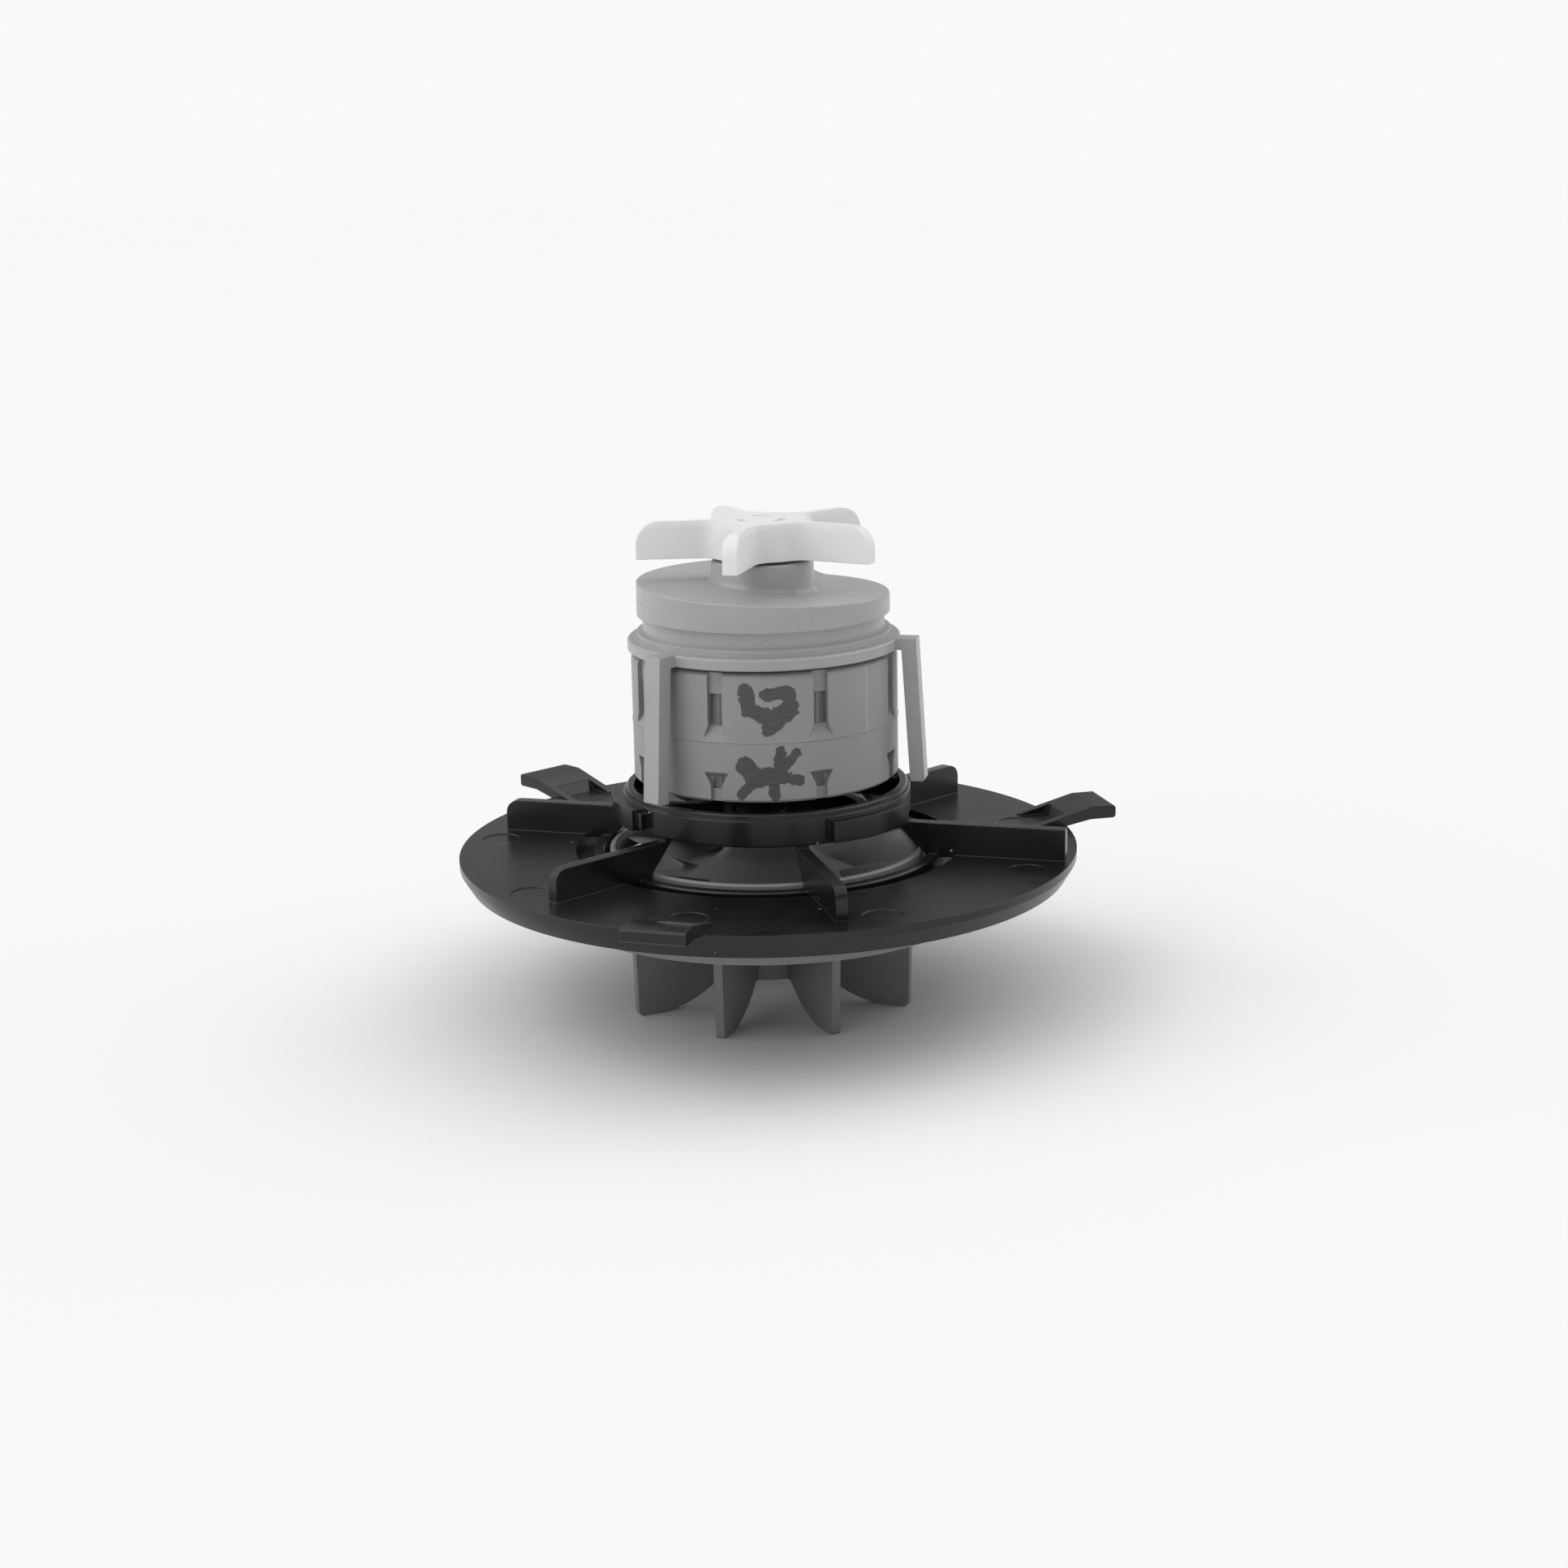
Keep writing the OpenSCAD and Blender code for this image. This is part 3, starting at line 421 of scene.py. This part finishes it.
@dataclass(frozen=True)
class SleeveFinish(Finish):
    """Grey plastic with the joint line of its mould and two dark dabs of paint."""

    paint: tuple[float, float, float] = (0.05, 0.05, 0.05)
    dabs: tuple = (
        (-3.6, 37.2, -3.0, 33.6, 1.5),
        (-3.0, 33.6, 1.0, 32.2, 1.6),
        (1.0, 32.2, 4.0, 34.0, 1.2),
        (0.4, 36.6, 4.6, 37.0, 1.3),
        (4.6, 37.0, 5.2, 33.4, 1.4),
        (5.2, 33.4, 0.6, 29.6, 1.4),
        (-3.8, 22.6, -2.6, 21.0, 1.9),
        (-2.0, 20.2, 2.6, 20.8, 1.9),
        (2.4, 21.4, 3.0, 25.4, 1.1),
        (3.4, 22.0, 6.0, 25.0, 1.0),
        (3.2, 20.4, 6.6, 19.6, 1.1),
        (-2.4, 19.4, -4.8, 16.8, 1.0),
        (1.6, 19.6, 1.8, 16.8, 1.1),
    )
    seam_angle: float = 48.0
    sleeve_r: float = 26.6

    def extra(self, sheet: NodeSheet, effects: Effects, colour: bpy.types.NodeSocket) -> bpy.types.NodeSocket:
        """Adds the paint and the mould line.

        Args:
            sheet: the material's nodes.
            effects: shared node groups.
            colour: colour so far.

        Returns:
            The new colour.
        """
        where = sheet.add("ShaderNodeTexCoord").outputs["Object"]
        x, y, z = sheet.add("ShaderNodeSeparateXYZ", None, Vector=where).outputs
        turn = sheet.math("ARCTAN2", x, sheet.math("MULTIPLY", y, -1.0))
        arc = sheet.math("MULTIPLY", turn, self.sleeve_r)
        height = sheet.math("MULTIPLY", z, 1 / MM)
        spot = sheet.add("ShaderNodeCombineXYZ", None, X=arc, Y=height).outputs[0]
        ragged = sheet.add("ShaderNodeTexNoise", None, Vector=spot, Scale=0.8, Detail=4.0)
        shift = sheet.vector("SUBTRACT", ragged.outputs[1], (0.5, 0.5, 0.5)).outputs[0]
        spot = sheet.vector("ADD", spot, sheet.vector("MULTIPLY", shift, (1.7, 1.7, 0.0)).outputs[0]).outputs[0]
        nearest = None
        for u0, v0, u1, v1, radius in self.dabs:
            dab = sheet.group(effects.stroke, At=spot, From=(u0, v0, 0.0), To=(u1, v1, 0.0), Radius=radius)
            reach = dab.outputs["Distance"]
            nearest = reach if nearest is None else sheet.math("SMOOTH_MIN", nearest, reach, 0.35)
        body = sheet.fade(nearest, 0.12, -0.12)
        streaks = sheet.noise(sheet.vector("MULTIPLY", spot, (0.5, 2.6, 1.0)).outputs[0], 1.0, 3.0)
        front = sheet.math("LESS_THAN", y, 0.0)
        cover = sheet.math("MULTIPLY", sheet.math("MULTIPLY", body, front), sheet.fade(streaks, 0.25, 0.75, 0.9, 1.0))
        colour = sheet.blend(cover, colour, (*self.paint, 1.0))
        off = sheet.math("ABSOLUTE", sheet.math("SUBTRACT", turn, math.radians(self.seam_angle)))
        seam = sheet.math("LESS_THAN", off, 0.0028)
        upper = sheet.math("GREATER_THAN", height, 27.1)
        return sheet.blend(sheet.math("MULTIPLY", seam, sheet.math("MULTIPLY", upper, 0.55)), colour, (0.62, 0.62, 0.62, 1.0))


@dataclass(frozen=True)
class GroundFinish:
    """Metal or ferrite with lines left by its grinding or turning."""

    name: str
    colour: tuple[float, float, float]
    roughness: float
    metallic: float = 1.0
    across: float = 2600.0
    along: float = 60.0
    round_lines: bool = True
    depth: float = 0.25
    contrast: float = 0.2
    edge_radius: float = 0.12

    def build(self, effects: Effects) -> bpy.types.Material:
        """Makes the material.

        Args:
            effects: shared node groups.

        Returns:
            The material, ready for a slot.
        """
        material = bpy.data.materials.new(self.name)
        material.use_nodes = True
        material.diffuse_color = (*self.colour, 1.0)
        sheet = NodeSheet(material.node_tree)
        shader = material.node_tree.nodes["Principled BSDF"]
        lines = sheet.group(effects.lines, Across=self.across, Along=self.along, Round=float(self.round_lines))
        edge = sheet.group(effects.edge, Radius=self.edge_radius * MM)
        dark = tuple(c * (1 - self.contrast) for c in self.colour)
        light = tuple(min(1.0, c * (1 + self.contrast)) for c in self.colour)
        colour = sheet.blend(lines.outputs["Tone"], (*dark, 1.0), (*light, 1.0))
        bump = sheet.add("ShaderNodeBump", None, Strength=self.depth, Height=lines.outputs["Height"], Normal=edge.outputs["Normal"])
        bump.inputs["Distance"].default_value = 0.04 * MM
        sheet.put(shader.inputs["Base Color"], colour)
        sheet.put(shader.inputs["Roughness"], sheet.fade(lines.outputs["Tone"], 0.0, 1.0, self.roughness * 1.2, self.roughness * 0.85))
        sheet.put(shader.inputs["Normal"], bump.outputs[0])
        shader.inputs["Metallic"].default_value = self.metallic
        return material


def grey(value: float) -> tuple[float, float, float]:
    """Neutral colour of one value."""
    return (value, value, value)


IMPELLER = Finish("impeller_white", grey(0.76), 0.42, tone=0.02, edge_highlight_strength=0.1, grain=0.03, soft=0.25)
CAP = Finish(
    "cap_grey", grey(0.35), 0.33, tone=0.05, edge_highlight_strength=0.2, grain=0.05,
    speck_colour=grey(0.2), speck_share=0.22, speck_scale=1500.0, speck_size=0.17,
)
SLEEVE = SleeveFinish("sleeve_grey", grey(0.27), 0.42, tone=0.05, edge_highlight_strength=0.25, grain=0.06, edge_radius=0.15)
SPIDER = Finish(
    "spider_black", grey(0.008), 0.26, specular=0.4, tone=0.25, edge_highlight_strength=0.05, grain=0.05, edge_radius=0.3,
    speck_colour=grey(0.5), speck_share=0.06, speck_scale=520.0, speck_size=0.11,
)
FAN = Finish("fan_grey", grey(0.2), 0.42, tone=0.08, edge_highlight_strength=0.12, grain=0.05)
RUBBER = Finish("seal_rubber", grey(0.02), 0.6, tone=0.2, grain=0.2, edge_highlight_strength=0.03)
CAGE = Finish("cage_nylon", (0.6, 0.55, 0.42), 0.5, tone=0.06)
STEEL = GroundFinish("ground_steel", grey(0.62), 0.28)
YOKE = GroundFinish("yoke_steel", grey(0.35), 0.4, across=2000.0)
SPACER = GroundFinish("turned_steel", grey(0.5), 0.32)
ZINC = GroundFinish("zinc_steel", grey(0.55), 0.38)
SPRING = GroundFinish("spring_steel", grey(0.22), 0.35)
FERRITE = GroundFinish("ferrite", grey(0.14), 0.45, metallic=0.0, across=2300.0, along=45.0, round_lines=False, depth=0.6, contrast=0.45)


# ---- Sub-assemblies ----


class Workshop:
    """Holds the built materials and makes pieces out of CAD nodes."""

    def __init__(self) -> None:
        """Builds the shared effects."""
        self.effects = Effects()
        self.materials: dict[str, bpy.types.Material] = {}

    def material(self, finish: Finish | GroundFinish) -> bpy.types.Material:
        """Material of a finish, built at its first use."""
        if finish.name not in self.materials:
            self.materials[finish.name] = finish.build(self.effects)
        return self.materials[finish.name]

    def dress(self, node: str, finish: Finish | GroundFinish) -> None:
        """Gives a CAD node its material and leaves its mesh alone."""
        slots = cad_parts[node].data.materials
        slots.clear()
        slots.append(self.material(finish))
        LOG.info("dressed %s in %s", node, finish.name)

    def skin(self, name: str, node: str, body: Body, finish: Finish, smooth: float = 30.0) -> bpy.types.Object:
        """Copies a CAD node, merges its facets, smooths it and lets it stand for the node.

        Args:
            name: name of the piece.
            node: CAD node to copy.
            body: body that the piece rides on.
            finish: look of the piece.
            smooth: angle in degrees below which faces shade as one.

        Returns:
            The finished piece.
        """
        piece = bpy.data.objects.new(name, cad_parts[node].data.copy())
        bpy.context.scene.collection.objects.link(piece)
        bpy.ops.object.select_all(action="DESELECT")
        piece.select_set(True)
        bpy.context.view_layer.objects.active = piece
        bpy.ops.mesh.customdata_custom_splitnormals_clear()
        bpy.ops.object.mode_set(mode="EDIT")
        bpy.ops.mesh.select_all(action="SELECT")
        bpy.ops.mesh.remove_doubles(threshold=2e-6)
        bpy.ops.object.mode_set(mode="OBJECT")
        bpy.ops.object.shade_smooth_by_angle(angle=math.radians(smooth))
        piece.data.materials.clear()
        piece.data.materials.append(self.material(finish))
        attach(piece, body.value)
        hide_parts(node)
        LOG.info("piece %s stands for %s on %s", name, node, body.value)
        return piece


@dataclass
class RotorCore:
    """Shaft, yoke, magnets and moulded sleeve."""

    magnet_count: int = 8

    def build(self, shop: Workshop) -> None:
        """Dresses the core's nodes."""
        shop.dress("shaft", STEEL)
        shop.dress("rotor_yoke", YOKE)
        for index in range(1, self.magnet_count + 1):
            shop.dress(f"magnet_{index}", FERRITE)
        for node in ("upper_spacer", "lower_spacer"):
            shop.dress(node, SPACER)
        shop.skin("sleeve_moulding", "rotor_sleeve", Body.ROTOR, SLEEVE)


@dataclass
class Bearings:
    """The two ball bearings with their spring and circlip."""

    sides: tuple[str, str] = ("upper", "lower")

    def build(self, shop: Workshop) -> None:
        """Dresses the bearings' nodes."""
        for side in self.sides:
            for part in ("inner", "outer", "balls"):
                shop.dress(f"{side}_bearing_{part}", STEEL)
            shop.dress(f"{side}_bearing_cage", CAGE)
            shop.dress(f"{side}_bearing_shields", RUBBER)
        shop.dress("preload_spring", SPRING)
        shop.dress("bearing_circlip", SPRING)


@dataclass
class PumpEnd:
    """Bearing cap, shaft seal and pump impeller."""

    def build(self, shop: Workshop) -> None:
        """Makes the pump end's pieces."""
        shop.skin("cap_moulding", "bearing_cap", Body.CAP, CAP)
        shop.skin("impeller_moulding", "top_impeller", Body.ROTOR, IMPELLER, smooth=48.0)
        shop.dress("shaft_seal", RUBBER)


@dataclass
class FanEnd:
    """Guide spider and cooling fan."""

    def build(self, shop: Workshop) -> None:
        """Makes the fan end's pieces."""
        shop.skin("spider_moulding", "guide_spider", Body.SPIDER, SPIDER)
        shop.skin("fan_moulding", "lower_fan", Body.ROTOR, FAN)
        for node in ("fan_washer", "fan_screw"):
            shop.dress(node, ZINC)


@dataclass(frozen=True)
class Softbox:
    """One soft light of the studio, as a round patch of the sky."""

    direction: tuple[float, float, float]
    spread: float
    strength: float


@dataclass
class Studio:
    """Camera, floor and soft light."""

    floor_z: float = -32.0
    floor_size: float = 8.0
    floor_value: float = 0.837
    backdrop: float = 0.955
    walls: float = 0.26
    softboxes: tuple[Softbox, ...] = (
        Softbox((0.0, 0.1, 1.0), 55.0, 0.75),
        Softbox((-0.81, -0.26, 0.53), 40.0, 1.2),
        Softbox((0.85, 0.34, 0.41), 35.0, 0.95),
    )
    lens: float = 58.3000
    pitch: float = 0.24723655988751914
    roll: float = -0.018966760669345516
    spot: tuple[float, float, float] = (3.46194359, -498.61564592, 138.17918232)
    camera: bpy.types.Object | None = field(default=None)

    def build(self) -> None:
        """Makes the camera, the floor and the light."""
        self.build_camera()
        self.build_floor()
        self.build_light()

    def build_camera(self) -> None:
        """Places the camera at the photograph's viewing angle."""
        data = bpy.data.cameras.new("camera")
        data.sensor_width, data.lens, data.sensor_fit = 36.0, self.lens, "AUTO"
        data.clip_start, data.clip_end = 0.01, 50.0
        self.camera = bpy.data.objects.new("camera", data)
        bpy.context.scene.collection.objects.link(self.camera)
        ahead = Vector((0.0, math.cos(self.pitch), -math.sin(self.pitch)))
        right = Vector((1.0, 0.0, 0.0))
        down = ahead.cross(right)
        turned_right = right * math.cos(self.roll) - down * math.sin(self.roll)
        turned_down = right * math.sin(self.roll) + down * math.cos(self.roll)
        axes = Matrix((turned_right, -turned_down, -ahead)).transposed().to_4x4()
        self.camera.matrix_world = Matrix.Translation(Vector(self.spot) * MM) @ axes
        bpy.context.scene.camera = self.camera

    def build_floor(self) -> None:
        """Lays a pale floor that keeps the object's shadow."""
        bpy.ops.object.select_all(action="DESELECT")
        bpy.ops.mesh.primitive_circle_add(vertices=96, radius=self.floor_size, fill_type="NGON", location=(0, 0, self.floor_z * MM - 1e-5))
        floor = bpy.context.active_object
        floor.name = "floor"
        material = bpy.data.materials.new("floor_paper")
        material.use_nodes = True
        sheet = NodeSheet(material.node_tree)
        shader = material.node_tree.nodes["Principled BSDF"]
        where = sheet.add("ShaderNodeTexCoord").outputs["Object"]
        fibre = sheet.noise(where, 1400.0, 4.0, 0.6)
        low, high = self.floor_value * 0.995, self.floor_value * 1.005
        sheet.put(shader.inputs["Base Color"], sheet.blend(sheet.fade(fibre, 0.3, 0.7), (low, low, low, 1.0), (high, high, high, 1.0)))
        shader.inputs["Roughness"].default_value = 0.9
        shader.inputs["Specular IOR Level"].default_value = 0.1
        floor.data.materials.append(material)

    def build_light(self) -> None:
        """Lights the object from a world of soft boxes, dark walls and a pale low band."""
        scene = bpy.context.scene
        scene.view_settings.view_transform = "Standard"
        world = bpy.data.worlds.new("studio")
        scene.world = world
        world.use_nodes = True
        sheet = NodeSheet(world.node_tree)
        way = sheet.add("ShaderNodeTexCoord").outputs["Generated"]
        height = sheet.add("ShaderNodeSeparateXYZ", None, Vector=way).outputs[2]
        level = sheet.fade(height, 0.07, 0.2, self.backdrop, self.walls)
        for box in self.softboxes:
            along = sheet.vector("DOT_PRODUCT", way, tuple(Vector(box.direction).normalized())).outputs["Value"]
            rim = math.radians(box.spread)
            patch = sheet.fade(along, math.cos(rim * 1.15), math.cos(rim * 0.8), 0.0, box.strength)
            level = sheet.math("ADD", level, sheet.math("MULTIPLY", patch, sheet.fade(height, 0.07, 0.2)))
        paths = sheet.add("ShaderNodeLightPath")
        seen = sheet.blend(paths.outputs["Is Camera Ray"], level, (self.backdrop,) * 3 + (1.0,))
        background = world.node_tree.nodes["Background"]
        sheet.put(background.inputs["Color"], seen)


def main() -> None:
    """Builds the classes in order."""
    logging.basicConfig(level=logging.INFO, format="%(message)s")
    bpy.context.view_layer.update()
    studio = Studio()
    studio.build()
    shop = Workshop()
    for part in (RotorCore(), Bearings(), PumpEnd(), FanEnd()):
        part.build(shop)
        LOG.info("built %s", type(part).__name__)


if __name__ == "__main__":
    main()
